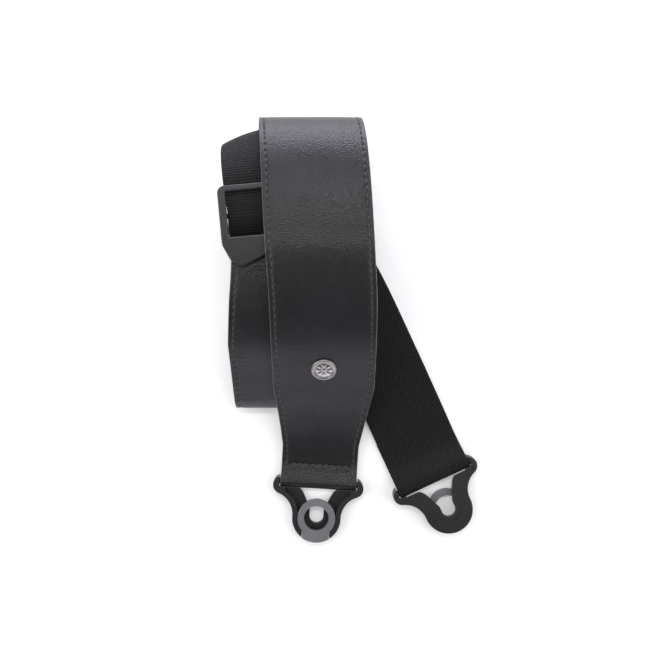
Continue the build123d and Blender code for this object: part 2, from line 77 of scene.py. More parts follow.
# ================================================================ centre lines
def turned(at, turn, side, along):
    c, s = cos(radians(turn)), sin(radians(turn))
    return at[0] + side * c - along * s, at[1] + side * s + along * c


def mix(a, b, t):
    return tuple(p + (q - p) * t for p, q in zip(a, b))


def through(knots, steps=STEPS):
    """Smooth curve through knots of any dimension."""
    ends = [mix(knots[1], knots[0], 2.0)] + list(knots) + [mix(knots[-2], knots[-1], 2.0)]
    out = []
    for k in range(1, len(ends) - 2):
        p0, p1, p2, p3 = ends[k - 1 : k + 3]
        d0, d1, d2 = (hypot(*[b - a for a, b in zip(u, v)]) ** 0.5
                      for u, v in ((p0, p1), (p1, p2), (p2, p3)))
        for i in range(steps):
            t = i / steps
            h = (2 * t**3 - 3 * t**2 + 1, t**3 - 2 * t**2 + t, -2 * t**3 + 3 * t**2, t**3 - t**2)
            point = []
            for a, b, c, d in zip(p0, p1, p2, p3):
                m1 = ((b - a) / d0 - (c - a) / (d0 + d1) + (c - b) / d1) * d1
                m2 = ((c - b) / d1 - (d - b) / (d1 + d2) + (d - c) / d2) * d1
                point.append(h[0] * b + h[1] * m1 + h[2] * c + h[3] * m2)
            out.append(tuple(point))
    return out + [tuple(knots[-1])]


def bend(at, turn, z, r_along, r_up, start, end, steps=4 * STEPS, drift=0.0):
    """Points round a bend whose axis lies across the band; angles in degrees, 90 is up."""
    out = []
    for i in range(steps + 1):
        t = i / steps
        a = radians(start + (end - start) * t)
        x, y = turned(at, turn, drift * t, r_along * cos(a))
        out.append((x, y, z + r_up * sin(a), turn))
    return out


def line(a, b, turn, count=STEPS):
    return [(*mix(a, b, k / count), turn) for k in range(count + 1)]


def leather_path():
    """Centre line of the face leather; also where its two hardware bars lie along it."""
    bar = turned(FRONT_RING, FRONT_TURN, 0, BAR_V)
    loop = BAR_R + LOOP_GAP + FACE_T / 2
    back = turned(bar, FRONT_TURN, 0, PLY_FRONT)
    fold = line((*back, BAR_W - loop), (*bar, BAR_W - loop), FRONT_TURN)[:-1]
    fold += bend(bar, FRONT_TURN, BAR_W, loop, loop, 270, 90)
    rise = through([
        (*bar, BAR_W + loop, FRONT_TURN),
        (*turned(bar, FRONT_TURN, 0, STITCH_FRONT), 4.0, FRONT_TURN),
        (-1.0, -78.0, 7.4, -2.0),
        (0.1, -61.5, 14.6, -0.6),
        (0.8, -41.2, 26.3, 0.0),
        (0.7, -8.5, 46.8, 0.0),
        (0.3, 13.6, 55.4, 0.0),
        (-1.2, 40.0, 60.9, 0.0),
        (-2.1, CROWN_Y, TOP_PEAK_Z, 0.0),
    ])[1:-1]
    low = FACE_T / 2 + TABLE_LIFT
    outer = bend((-2.1, CROWN_Y), 0, OUTER_BEND_Z, OUTER_BEND_Y - CROWN_Y, TOP_PEAK_Z - OUTER_BEND_Z,
                 90, 0, drift=-6.3)
    outer += bend((-8.4, TABLE_Y), 0, OUTER_BEND_Z, OUTER_BEND_Y - TABLE_Y, OUTER_BEND_Z - low,
                  0, -90, drift=-3.2)[1:]
    run = through([(-11.6, TABLE_Y, low, 0.0), (-18.0, 25.0, low, 0.0),
                   (-23.8, INNER_BEND_Y + INNER_LOW, low, 0.0)])[1:-1]
    inner = bend((-23.8, INNER_BEND_Y + INNER_LOW), 0, INNER_BEND_Z, INNER_LOW, INNER_BEND_Z - low,
                 270, 180, drift=-0.6)
    inner += bend((-24.4, INNER_BEND_Y + INNER_HIGH[0]), 0, INNER_BEND_Z, *INNER_HIGH,
                  180, RISE_FROM, drift=-0.6)[1:]
    s_bar = turned(SLIDER_AT, SLIDER_TURN, 0, LOOP_BAR_Q)
    s_z = SLIDER_AT[2] - LOOP_BAR_DEPTH
    s_loop = LOOP_BAR_R + LOOP_GAP + FACE_T / 2
    middle = through([
        inner[-1],
        (-25.4, -32.5, 26.2, 0.0),
        (-26.1, -9.0, 40.8, 0.6),
        (-27.3, 13.0, 48.9, 2.5),
        (*turned(s_bar, SLIDER_TURN, 0, -STITCH_REAR), s_z + s_loop - 0.3, SLIDER_TURN),
        (*s_bar, s_z + s_loop, SLIDER_TURN),
    ])[1:-1]
    rear = bend(s_bar, SLIDER_TURN, s_z, s_loop, s_loop, 90, -90)
    end = turned(s_bar, SLIDER_TURN, 0, -PLY_REAR)
    rear += line((*s_bar, s_z - s_loop), (*end, s_z - s_loop - 0.4), SLIDER_TURN)[1:]
    top = rise + outer + run + inner + middle
    return fold + top + rear, len(fold) - 1, len(fold) + len(top)


def slider_point(q, r, p=0.0):
    return (*turned(SLIDER_AT, SLIDER_TURN, p, q), SLIDER_AT[2] + r, SLIDER_TURN)


def webbing_path():
    bar = turned(REAR_RING, REAR_TURN, 0, BAR_V)
    bar_z = RING_W1 - BAR_W + LEAF
    loop = BAR_R + LOOP_GAP + WEB_T / 2
    over = -CENTER_BAR_DEPTH + CENTER_BAR_R + LOOP_GAP + WEB_T / 2
    table = WEB_T / 2 + TABLE_LIFT + 2 * LEAF + FACE_T + BACK_T
    knots = [                   # the last number is the bow: how far the edges fall behind the middle
        (-25.8, -17.0, 31.0, 1.0, 0.0),
        (-26.1, -6.0, 37.4, 1.5, 0.0),
        (-27.1, 8.0, 42.0, 3.0, 0.0),
        (*slider_point(-24.0, -12.2), 0.0),
        (*slider_point(-8.0, -11.5), 0.0),
        (*slider_point(-1.0, -9.6), 0.0),
        (*slider_point(4.6, -6.2, -0.4), 0.0),
        (*slider_point(9.4, over - 0.9, -0.5), 0.0),
        (*slider_point(CENTER_BAR_Q, over, -0.5), 0.0),
        (*slider_point(18.4, over - 0.8, -0.5), 0.0),
        (*slider_point(25.0, -5.0, -0.6), 0.0),
        (*slider_point(31.0, -5.6, -0.8), 0.0),
        (*slider_point(40.0, -6.4, -1.2), 0.6),
        (-36.8, 105.5, 43.4, 8.0, 2.4),
        (-37.9, 116.0, 35.5, 10.5, 3.6),
        (-37.8, 120.2, 26.5, 13.5, 4.0),
        (-36.3, 115.5, 15.0, 17.5, 3.4),
        (-32.0, 104.5, 7.6, 21.5, 1.8),
        (-24.0, 90.5, table + 0.9, 24.0, 0.5),
        (-6.5, 60.0, table + 0.1, REAR_TURN + 1.0, 0.0),
        (15.3, 22.6, table, REAR_TURN, 0.0),
        (38.9, -27.0, table, REAR_TURN, 0.0),
        (53.2, -58.0, 2.3, REAR_TURN, 0.0),
        (*turned(bar, REAR_TURN, 0, 16.0), WEB_T / 2 + WEB_T + 0.2, REAR_TURN, 0.0),
        (*turned(bar, REAR_TURN, 0, 3.5), bar_z + loop - 0.25, REAR_TURN, 0.0),
        (*bar, bar_z + loop, REAR_TURN, 0.0),
    ]
    path = through(knots)[:-1]
    fold = bend(bar, REAR_TURN, bar_z, loop, loop, 90, 270)
    low = WEB_T / 2 + LEAF
    ply = through([fold[-1], (*turned(bar, REAR_TURN, 0, 14.0), low, REAR_TURN),
                   (*turned(bar, REAR_TURN, 0, WEB_PLY), low, REAR_TURN)])[1:]
    return path + fold + ply, len(path)


class Band:
    """A centre line resampled at even steps, with the width direction and outward normal."""

    def __init__(self, path, step):
        points = np.array([p[:3] for p in path])
        gaps = np.linalg.norm(np.diff(points, axis=0), axis=1)
        self.run = np.concatenate([[0.0], np.cumsum(gaps)])
        self.length = self.run[-1]
        self.points = points
        self.turns = np.radians([p[3] for p in path])
        self.bows = np.array([p[4] if len(p) > 4 else 0.0 for p in path])
        self.s = np.linspace(0.0, self.length, int(round(self.length / step)) + 1)
        self.at, self.across, self.normal = self.sample(self.s)

    def sample(self, s):
        s = np.asarray(s, float)

        def place(t):
            t = np.clip(t, 0.0, self.length)
            return np.stack([np.interp(t, self.run, self.points[:, k]) for k in range(3)], -1)

        at = place(s)
        ahead, behind = np.minimum(s + 0.6, self.length), np.maximum(s - 0.6, 0.0)
        tangent = place(ahead) - place(behind)
        tangent /= np.linalg.norm(tangent, axis=-1, keepdims=True)
        turn = np.interp(s, self.run, self.turns)
        across = np.stack([np.cos(turn), np.sin(turn), 0 * turn], -1)
        normal = np.cross(across, tangent)
        normal /= np.linalg.norm(normal, axis=-1, keepdims=True)
        return at, across, normal


# ================================================================ mesh helpers
low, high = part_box("front_pivot_pin")
PIN_AT = np.array([*turned(FRONT_RING, FRONT_TURN, 0, PIVOT_V), PIVOT_W])
SHIFT = np.array((low + high) / 2) / MM - PIN_AT      # from the drawing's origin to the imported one


def to_metres(points):
    return (np.asarray(points, float) + SHIFT) * MM


def mesh_object(name, points, faces, smooth=True):
    mesh = bpy.data.meshes.new(name)
    mesh.from_pydata(to_metres(points).tolist(), [], faces)
    mesh.validate()
    if smooth:
        mesh.shade_smooth()
    obj = bpy.data.objects.new(name, mesh)
    bpy.context.scene.collection.objects.link(obj)
    return obj


def tube_faces(rings, around, first=0, closed_ends=True):
    """Quads joining `rings` rings of `around` points, and a cap on each end."""
    faces = []
    for i in range(rings - 1):
        a, b = first + i * around, first + (i + 1) * around
        for j in range(around):
            k = (j + 1) % around
            faces.append((a + j, a + k, b + k, b + j))
    if closed_ends:
        faces.append(tuple(first + j for j in reversed(range(around))))
        last = first + (rings - 1) * around
        faces.append(tuple(last + j for j in range(around)))
    return faces


def band_object(name, band, u, h, data=None):
    """A band's closed skin. u and h are (stations, points round the section) offsets in mm."""
    rings, around = u.shape
    sag = np.interp(band.s, band.run, band.bows)[:, None] * (u / (WEB_W / 2)) ** 2
    points = (band.at[:, None, :] + band.across[:, None, :] * u[:, :, None]
              + band.normal[:, None, :] * (h - sag)[:, :, None])
    caps = []
    faces = tube_faces(rings, around, closed_ends=False)
    half = around // 2
    for ring, flip in ((0, True), (rings - 1, False)):      # ladder caps keep the ends flat
        base = ring * around
        for j in range(half - 1):
            a, b = base + j, base + j + 1
            c, d = base + around - 2 - j, base + around - 1 - j
            quad = (a, b, c, d)
            caps.append(tuple(reversed(quad)) if not flip else quad)
    obj = mesh_object(name, points.reshape(-1, 3), faces + [q for q in caps if len(set(q)) == 4])
    mesh = obj.data
    flat_u, flat_s = u.reshape(-1), np.repeat(band.s, around)
    loops = np.zeros(len(mesh.loops), np.int32)
    mesh.loops.foreach_get("vertex_index", loops)
    layer = mesh.uv_layers.new(name="along")
    uv = np.stack([flat_u[loops], flat_s[loops]], -1).astype(np.float32)
    layer.data.foreach_set("uv", uv.reshape(-1) * 0.01)
    for key, values in (data or {}).items():
        field = mesh.attributes.new(key, "FLOAT", "POINT")
        field.data.foreach_set("value", values.reshape(-1).astype(np.float32))
    return obj


def bump_of(x, width):
    return np.exp(-((x / width) ** 2))


# ================================================================ leather
l_path, l_first, l_last = leather_path()
leather = Band(l_path, STITCH / 5)
L_FRONT, L_REAR = leather.run[l_first], leather.run[l_last]


def half_at(s):
    near = np.clip((s - L_FRONT - 26.0) / 44.0, 0, 1)
    far = np.clip((L_REAR - s + 2.5) / 62.5, 0, 1)
    return np.minimum(LEATHER_FRONT_W + (LEATHER_W - LEATHER_FRONT_W) * near,
                      LEATHER_REAR_W + (LEATHER_W - LEATHER_REAR_W) * far) / 2


SEAM_S0 = L_FRONT + 1.0
SEAM_COUNT = int((L_REAR - 4.0 - SEAM_S0) / STITCH)
SEAM_S1 = SEAM_S0 + SEAM_COUNT * STITCH
CROSS_FRONT, CROSS_REAR = L_FRONT + STITCH_FRONT, L_REAR - STITCH_REAR


def seam_mask(s):
    return np.clip((s - SEAM_S0 + 1.0) / 2.0, 0, 1) * np.clip((SEAM_S1 + 1.0 - s) / 2.0, 0, 1)


def cross_groove(s, u):
    inside = np.clip((LEATHER_REAR_W / 2 - 3.5 - np.abs(u)) / 1.5, 0, 1)
    out = 0
    for at, depth in ((CROSS_FRONT, 0.6), (CROSS_REAR, 0.06)):
        out = out + depth * bump_of(s - at, 0.8) * inside
    return out


def grain_height(s, u, half):
    """Height of the grain side above the middle of the face leather."""
    d = half - np.abs(u)                                   # distance in from the cut edge
    h = np.full(np.broadcast(s, u).shape, FACE_T / 2)
    corner = np.clip(EDGE_ROUND - d, 0, EDGE_ROUND)
    h = h - (EDGE_ROUND - np.sqrt(np.maximum(EDGE_ROUND**2 - corner**2, 0.0)))
    mask = seam_mask(s)
    h = h - mask * GROOVE_DEPTH * bump_of(d - SEAM_IN, 0.6)
    phase = np.mod(s - SEAM_S0 + STITCH / 2, STITCH) - STITCH / 2
    h = h - mask * HOLE_DEPTH * bump_of(d - SEAM_IN, 0.55) * bump_of(phase, 0.75)
    h = h + CUSHION * np.clip((d - SEAM_IN - 0.5) / 5.0, 0, 1)
    h = h - cross_groove(s, u)
    wave = (np.sin(s / 17.0 + 0.6) * np.sin(u / 13.0 + s / 61.0)
            + 0.6 * np.sin(s / 9.3 + 2.0) * np.sin(u / 8.0 - 1.1 + s / 37.0))
    return h + UNEVEN * wave * np.clip(d / 8.0, 0, 1)


EDGE_D = [0.0, 0.08, 0.25, 0.55, 1.1, 1.8, 2.3, 2.65, 3.0, 3.35, 3.7, 4.3, 5.4, 7.0]
s_col, half_col = leather.s[:, None], half_at(leather.s)[:, None]
edge = np.array(EDGE_D)[None, :]
mid = np.linspace(-1, 1, 21)[None, 1:-1] * (half_col - EDGE_D[-1])
u_top = np.hstack([-half_col + edge, mid, half_col - edge[:, ::-1]])
h_top = grain_height(s_col, u_top, half_col)
middle = 0 * half_col
u_low = np.hstack([half_col, half_col - 6.0, middle + 6, middle - 6, -half_col + 6.0, -half_col])
h_low = np.full_like(u_low, -FACE_T / 2)
u_all, h_all = np.hstack([u_top, u_low]), np.hstack([h_top, h_low])
rim = np.hstack([np.clip(1.3 - (half_col - np.abs(u_top)) / 0.25, 0, 1), np.ones_like(u_low)])
# painted shade: how far the grain side sinks below its top (stitch groove, stitch holes, fold-seam groove,
# rounded edge); the leather colour is darkened by it
sunk_shade = np.hstack([np.clip((FACE_T / 2 - 0.05 - h_top) / 0.35, 0, 1), 0 * u_low])
face = band_object("leather_top", leather, u_all, h_all, {"rim": rim, "sunk_shade": sunk_shade})

# the backing stops short of both bars
b0, b1 = L_FRONT + 9.5, L_REAR - 8.0
back_band = Band(l_path, STITCH / 4)
keep = (back_band.s > b0) & (back_band.s < b1)
for key in ("s", "at", "across", "normal"):
    setattr(back_band, key, getattr(back_band, key)[keep])
s_b, half_b = back_band.s[:, None], half_at(back_band.s)[:, None]
EDGE_B = np.array([0.0, 0.12, 0.45, 1.2, 2.2, 2.7, 3.0, 3.3, 3.8, 5.0, 7.0])[None, :]
mid_b = np.linspace(-1, 1, 15)[None, 1:-1] * (half_b - 7.0)
u_skin = np.hstack([half_b - EDGE_B, -mid_b, -half_b + EDGE_B[:, ::-1]])
d_b = half_b - np.abs(u_skin)
round_b = np.clip(BACK_EDGE_ROUND - d_b, 0, BACK_EDGE_ROUND)
h_skin = -FACE_T / 2 - BACK_T + (BACK_EDGE_ROUND - np.sqrt(BACK_EDGE_ROUND**2 - round_b**2))
phase_b = np.mod(s_b - SEAM_S0 + STITCH / 2, STITCH) - STITCH / 2
h_skin = h_skin + seam_mask(s_b) * (0.2 + 0.3 * bump_of(phase_b, 0.6)) * bump_of(d_b - SEAM_IN, 0.6)
u_glue = np.hstack([-half_b + 0.06, -half_b + 6, 0 * half_b, half_b - 6, half_b - 0.06])
h_glue = np.full_like(u_glue, -FACE_T / 2 - 0.02)
backing = band_object("leather_back", back_band, np.hstack([u_skin, u_glue]), np.hstack([h_skin, h_glue]))


# ================================================================ thread
class Thread:
    """Collects stitches, each a short bowed capsule of thread."""

    def __init__(self, radius=0.34):
        self.points, self.faces, self.radius = [], [], radius

    def stitch(self, start, end, up, lift=0.16, dive=0.5):
        """From hole to hole over the surface; the ends go down into the holes."""
        start, end, up = (np.asarray(v, float) for v in (start, end, up))
        ts = (0.0, 0.06, 0.18, 0.36, 0.5, 0.64, 0.82, 0.94, 1.0)
        along = end - start
        along /= np.linalg.norm(along)
        side = np.cross(up, along)
        side /= np.linalg.norm(side)
        first = len(self.points)
        around = 8
        for t in ts:
            arch = sin(pi * t) ** 0.55 if 0 < t < 1 else 0.0
            centre = start + (end - start) * t + up * (-dive + (dive + lift) * arch)
            r = self.radius * (0.45 + 0.55 * sin(pi * t) ** 0.4 if 0 < t < 1 else 0.35)
            for j in range(around):
                a = 2 * pi * j / around
                self.points.append(centre + side * (r * 1.15 * cos(a)) + up * (r * sin(a)))
        self.faces += tube_faces(len(ts), around, first)

    def build(self, name):
        return mesh_object(name, self.points, self.faces)


def surface_point(band, s, u, h):
    at, across, normal = band.sample(s)
    sag = np.interp(s, band.run, band.bows) * (u / (WEB_W / 2)) ** 2
    return at + across * u + normal * (h - sag), normal


rng = np.random.RandomState(7)
pieces = {}
for side, word in ((-1, "left"), (1, "right")):
    thread = Thread()
    for k in range(SEAM_COUNT):
        ends = []
        for s in (SEAM_S0 + k * STITCH + 0.35, SEAM_S0 + (k + 1) * STITCH - 0.35):
            u = side * (half_at(s) - SEAM_IN + rng.uniform(-0.06, 0.06))
            ends.append((s, u))
        (s_a, u_a), (s_b2, u_b2) = ends
        base = FACE_T / 2 - 0.2
        a, n_a = surface_point(leather, s_a, u_a, base)
        b, n_b = surface_point(leather, s_b2, u_b2, base)
        thread.stitch(a, b, (n_a + n_b) / np.linalg.norm(n_a + n_b))
        if b0 + 1 < s_a and s_b2 < b1 - 1:                 # the bobbin thread on the backing
            deep = -FACE_T / 2 - BACK_T + 0.2
            a, n_a = surface_point(leather, s_a, u_a, deep)
            b, n_b = surface_point(leather, s_b2, u_b2, deep)
            thread.stitch(a, b, -(n_a + n_b) / np.linalg.norm(n_a + n_b))
    pieces[word] = thread.build(f"edge_thread_{word}")


def cross_seam(name, band, at_s, half, on, up, pitch=4.3, extra=()):
    thread = Thread(0.36)
    for s in (at_s, *extra):
        count = int(2 * half / pitch)
        for k in range(count):
            u = -count * pitch / 2 + k * pitch
            a, n = surface_point(band, s + rng.uniform(-0.08, 0.08), u + 0.4, on)
            b, n = surface_point(band, s + rng.uniform(-0.08, 0.08), u + pitch - 0.4, on)
            thread.stitch(a, b, n * up)
    return thread.build(name)


cross_front = cross_seam("front_fold_thread", leather, CROSS_FRONT, LEATHER_REAR_W / 2 - 3.4,
                         FACE_T / 2 - 0.42, 1)
cross_rear = cross_seam("slider_fold_thread", leather, CROSS_REAR, LEATHER_REAR_W / 2 - 3.4,
                        FACE_T / 2 - 0.5, 1)

# ================================================================ webbing
w_path, w_bar = webbing_path()
web = Band(w_path, RIB / 3)
W_BAR = web.run[w_bar]
COLUMNS = 54
u_flat = np.linspace(-1, 1, COLUMNS + 1)[None, :] * (WEB_W / 2 - 0.25)
s_w = web.s[:, None]
row = np.floor(s_w / RIB + 1e-6)
phase_w = s_w / RIB - row
column = np.arange(COLUMNS + 1)[None, :]


def weave():
    """Height and crown of one side: rows across the band, made of staggered raised floats. The crown value
    paints highlights on the floats and shade in the dips between them.
    """
    rib = np.sin(pi * phase_w) ** 2
    crown = np.where((column + row) % 2 == 0, 1.0, 0.0)
    edge_row = np.clip((WEB_W / 2 - np.abs(u_flat)) / 1.6, 0, 1)
    crown = 0.5 + (crown - 0.5) * edge_row
    height = WEAVE_LOW + rib * (WEAVE_BASE + WEAVE_CROWN * crown)
    return WEB_T / 2 + height, rib * crown


top_h, top_painted_light = weave()
round_off = 0.28 * np.clip(1 - (WEB_W / 2 - np.abs(u_flat)) / 0.9, 0, 1) ** 2
top_h = top_h - round_off
scallop = 0.14 * np.sin(pi * phase_w)
u_edge_l, u_edge_r = -WEB_W / 2 - scallop + 0.1, WEB_W / 2 + scallop - 0.1
s_crest = web.s[np.argmin(np.linalg.norm(web.at - slider_point(CENTER_BAR_Q, 0)[:3], axis=1))]
# narrower than the CAD webbing here, so that the slider clears it when it tips; the CAD one is not
pinch = 1.0 - PINCH * bump_of(s_w - s_crest, PINCH_LENGTH)
u_side = u_flat + 0 * s_w
u_w = pinch * np.hstack([u_edge_l, u_side, u_edge_r, u_edge_r, u_side[:, ::-1], u_edge_l])
edge_h = 0 * s_w + 0.24
h_w = np.hstack([edge_h, top_h, edge_h, -edge_h, -top_h[:, ::-1], -edge_h])
# painted highlight and shade: crown values per point, light on the floats and dark between them
weave_painted_light = np.hstack([0 * s_w + 0.5, top_painted_light, 0 * s_w + 0.5, 0 * s_w + 0.5, top_painted_light[:, ::-1], 0 * s_w + 0.5])
webbing = band_object("webbing_strap", web, u_w, h_w, {"crown": weave_painted_light})
webbing.data.shade_flat()

web_thread = cross_seam("webbing_fold_thread", web, W_BAR - 17.0, WEB_W / 2 - 3, -WEB_T / 2 + 0.85, -1,
                        extra=(W_BAR - 30.0,))


# ================================================================ badge
def lathe(name, profile, around, place, ripple=None):
    """Turn (radius, height) points about the badge's axis; ripple(r, angle) adds height."""
    origin, x_dir, z_dir = place
    y_dir = np.cross(z_dir, x_dir)
    points, faces = [], []
    for r, z in profile:
        for j in range(around):
            a = 2 * pi * j / around
            dz = ripple(r, a, z) if ripple else 0.0
            points.append(origin + x_dir * (r * cos(a)) + y_dir * (r * sin(a)) + z_dir * (z + dz))
    faces = tube_faces(len(profile), around)
    return mesh_object(name, points, faces)


on_top = (leather.normal[:, 2] > 0.3) & (leather.s < L_FRONT + 200)
b_index = np.where(on_top)[0][np.argmin(np.abs(leather.at[on_top, 1] - BADGE_Y))]
b_place = (leather.at[b_index] + leather.normal[b_index] * (FACE_T / 2), leather.across[b_index],
           leather.normal[b_index])


def badge_relief(r, a, z):
    """A plain eight-petal rosette in the dished middle."""
    if r > 5.2 or z < 0.5:
        return 0.0
    petal = 0.5 + 0.5 * cos(8 * a)
    return 0.28 * petal * np.clip((r - 1.2) / 1.0, 0, 1) * np.clip((5.0 - r) / 1.2, 0, 1)


BADGE_PROFILE = ([(0.02, 0.05), (7.2, 0.05), (7.62, 0.22), (7.8, 0.6), (7.72, 1.0), (7.45, 1.32),
                  (7.05, 1.48), (6.7, 1.5), (6.35, 1.42), (6.1, 1.22), (5.9, 1.08), (5.6, 1.02)]
                 + [(5.2 - 0.35 * k, 1.02 + 0.012 * k) for k in range(12)]
                 + [(1.15, 1.2), (0.95, 1.34), (0.6, 1.42), (0.02, 1.45)])
badge = lathe("badge", BADGE_PROFILE, 96, b_place, badge_relief)


# ================================================================ materials
class Nodes:
    """Short-hand for one material's node tree."""

    def __init__(self, name):
        self.material = bpy.data.materials.new(name)
        self.material.use_nodes = True
        self.tree = self.material.node_tree
        self.shader = self.tree.nodes["Principled BSDF"]

    def new(self, kind, **values):
        node = self.tree.nodes.new(kind)
        for key, value in values.items():
            if hasattr(node, key) and not key[0].isupper():
                setattr(node, key, value)
            else:
                node.inputs[key.replace("_", " ")].default_value = value
        return node

    def link(self, a, b):
        self.tree.links.new(a, b)

    def set(self, **values):
        for key, value in values.items():
            self.shader.inputs[key.replace("_", " ")].default_value = value

    def position(self):
        return self.new("ShaderNodeTexCoord").outputs["Object"]

    def noise(self, scale, detail=3.0, rough=0.55, vector=None):
        node = self.new("ShaderNodeTexNoise", Scale=scale, Detail=detail, Roughness=rough)
        self.link(vector or self.position(), node.inputs["Vector"])
        return node.outputs["Fac"]

    def cells(self, scale, vector=None, smooth=0.3):
        node = self.new("ShaderNodeTexVoronoi", feature="SMOOTH_F1", Scale=scale)
        node.inputs["Smoothness"].default_value = smooth
        self.link(vector or self.position(), node.inputs["Vector"])
        return node.outputs["Distance"]

    def attribute(self, name):
        return self.new("ShaderNodeAttribute", attribute_name=name).outputs["Fac"]

    def ramp(self, value, stops):
        node = self.new("ShaderNodeValToRGB")
        elements = node.color_ramp.elements
        elements[0].position, elements[0].color = stops[0][0], grey(stops[0][1])
        elements[1].position, elements[1].color = stops[-1][0], grey(stops[-1][1])
        for at, value_at in stops[1:-1]:
            elements.new(at).color = grey(value_at)
        self.link(value, node.inputs["Fac"])
        return node.outputs["Color"]

    def maths(self, operation, a, b):
        node = self.new("ShaderNodeMath", operation=operation)
        for socket, value in zip(node.inputs, (a, b)):
            if isinstance(value, (int, float)):
                socket.default_value = value
            else:
                self.link(value, socket)
        return node.outputs[0]

    def blend(self, fac, a, b):
        node = self.new("ShaderNodeMix", data_type="RGBA")
        for socket, value in zip((node.inputs[0], node.inputs[6], node.inputs[7]), (fac, a, b)):
            if isinstance(value, tuple):
                socket.default_value = (*value, 1.0)
            elif isinstance(value, (int, float)):
                socket.default_value = value
            else:
                self.link(value, socket)
        return node.outputs[2]

    def bump(self, height, distance, strength=1.0, after=None):
        node = self.new("ShaderNodeBump", Strength=strength, Distance=distance)
        self.link(height, node.inputs["Height"])
        if after:
            self.link(after, node.inputs["Normal"])
        return node.outputs["Normal"]

    def finish(self, color=None, rough=None, normal=None):
        for value, socket in ((color, "Base Color"), (rough, "Roughness"), (normal, "Normal")):
            if value is not None:
                self.link(value, self.shader.inputs[socket])
        return self.material


def grey(value):
    return (*value, 1.0) if isinstance(value, tuple) else (value, value, value, 1.0)


def leather_material():
    m = Nodes("grain_leather")
    pebble = m.cells(1150.0)
    fine = m.noise(2600.0, 3.0)
    broad = m.noise(38.0, 4.0)
    rim, sunk_shade = m.attribute("rim"), m.attribute("sunk_shade")
    tone = m.ramp(broad, [(0.3, (0.0086, 0.0083, 0.0096)), (0.7, (0.0132, 0.0127, 0.0145))])
    valley = m.ramp(pebble, [(0.15, 1.0), (0.75, 0.55)])
    # painted shade: the sunk parts of the grain side are coloured near black
    tone = m.blend(sunk_shade, tone, (0.001, 0.001, 0.0011))
    tone = m.blend(m.maths("MULTIPLY", valley, 0.12), tone, (0.030, 0.029, 0.033))
    tone = m.blend(m.maths("MULTIPLY", rim, m.noise(70.0, 4.0)), tone, (0.30, 0.29, 0.295))
    rough = m.maths("ADD", m.maths("MULTIPLY", m.noise(240.0, 3.0), 0.14), 0.25)
    first = m.bump(pebble, 0.00025, 0.75, m.bump(m.noise(45.0, 3.0), 0.0008, 0.2))
    second = m.bump(fine, 0.00006, 0.35, first)
    m.set(Specular_IOR_Level=0.42, IOR=1.5)
    return m.finish(tone, rough, second)


def suede_material():
    m = Nodes("split_leather")
    nap = m.noise(1500.0, 5.0, 0.7)
    tone = m.ramp(m.noise(90.0, 4.0), [(0.3, (0.022, 0.0215, 0.023)), (0.7, (0.034, 0.033, 0.035))])
    m.set(Specular_IOR_Level=0.2, Sheen_Weight=0.25, Sheen_Roughness=0.5)
    return m.finish(tone, m.maths("ADD", m.maths("MULTIPLY", nap, 0.12), 0.82), m.bump(nap, 0.0003, 0.6))


def thread_material():
    m = Nodes("bonded_thread")
    twist = m.noise(3500.0, 2.0)
    tone = m.ramp(twist, [(0.3, 0.02), (0.7, 0.07)])
    m.set(Specular_IOR_Level=0.5)
    return m.finish(tone, m.maths("ADD", m.maths("MULTIPLY", twist, 0.2), 0.4), m.bump(twist, 0.00008, 0.5))


def webbing_material():
    m = Nodes("ribbed_webbing")
    uv = m.new("ShaderNodeUVMap", uv_map="along").outputs["UV"]
    stretch = m.new("ShaderNodeMapping")
    stretch.inputs["Scale"].default_value = (420.0, 46.0, 1.0)
    m.link(uv, stretch.inputs["Vector"])
    yarn = m.noise(1.0, 3.0, 0.6, stretch.outputs["Vector"])
    crown = m.attribute("crown")
    # painted highlight and painted shade: the crowns of the floats are coloured lighter, the dips between
    # them near black
    tone = m.ramp(crown, [(0.0, (0.0003, 0.0003, 0.0003)), (1.0, (0.0165, 0.0161, 0.0176))])
    tone = m.blend(m.maths("MULTIPLY", yarn, 0.3), tone, (0.012, 0.0118, 0.0124))
    m.set(Specular_IOR_Level=0.2)
    return m.finish(tone, m.maths("ADD", m.maths("MULTIPLY", yarn, 0.2), 0.42), m.bump(yarn, 0.00012, 0.6))


def plastic_material(name, dark, light, rough, grain=2300.0):
    m = Nodes(name)
    broad = m.noise(60.0, 3.0)
    tone = m.ramp(broad, [(0.3, dark), (0.7, light)])
    texture = m.noise(grain, 2.0)
    m.set(Specular_IOR_Level=0.5)
    return m.finish(tone, m.maths("ADD", m.maths("MULTIPLY", m.noise(300.0, 4.0), 0.14), rough - 0.07),
                    m.bump(texture, 0.00004, 0.35))


def metal_material(name, dark, light, rough, metallic=1.0):
    m = Nodes(name)
    broad = m.noise(180.0, 5.0, 0.65)
    tone = m.ramp(broad, [(0.3, dark), (0.7, light)])
    m.set(Metallic=metallic)
    return m.finish(tone, m.maths("ADD", m.maths("MULTIPLY", m.noise(900.0, 4.0), 0.16), rough - 0.08),
                    m.bump(m.noise(1400.0, 3.0), 0.00002, 0.3))


MATERIALS = {
    "leather_face": leather_material(),
    "leather_backing": suede_material(),
    "stitch_thread": thread_material(),
    "webbing": webbing_material(),
    "badge_metal": metal_material("antique_nickel", (0.30, 0.285, 0.285), (0.43, 0.41, 0.41), 0.30),
    "rivet_steel": metal_material("plated_steel", (0.42, 0.42, 0.43), (0.52, 0.52, 0.53), 0.35),
    "slider_metal": plastic_material("satin_coated_metal",
                                     (0.016, 0.0155, 0.0170), (0.022, 0.0215, 0.0235), 0.33),
    "connector_plastic": plastic_material("black_nylon",
                                          (0.0125, 0.0121, 0.0138), (0.017, 0.0166, 0.0186), 0.40),
    "lock_plastic": plastic_material("grey_plastic",
                                     (0.15, 0.146, 0.158), (0.185, 0.18, 0.193), 0.42),
    "spring_steel": metal_material("spring_wire", (0.45, 0.45, 0.45), (0.58, 0.58, 0.58), 0.3),
}


def dress(obj, slot):
    obj.data.materials.clear()
    obj.data.materials.append(MATERIALS[slot])


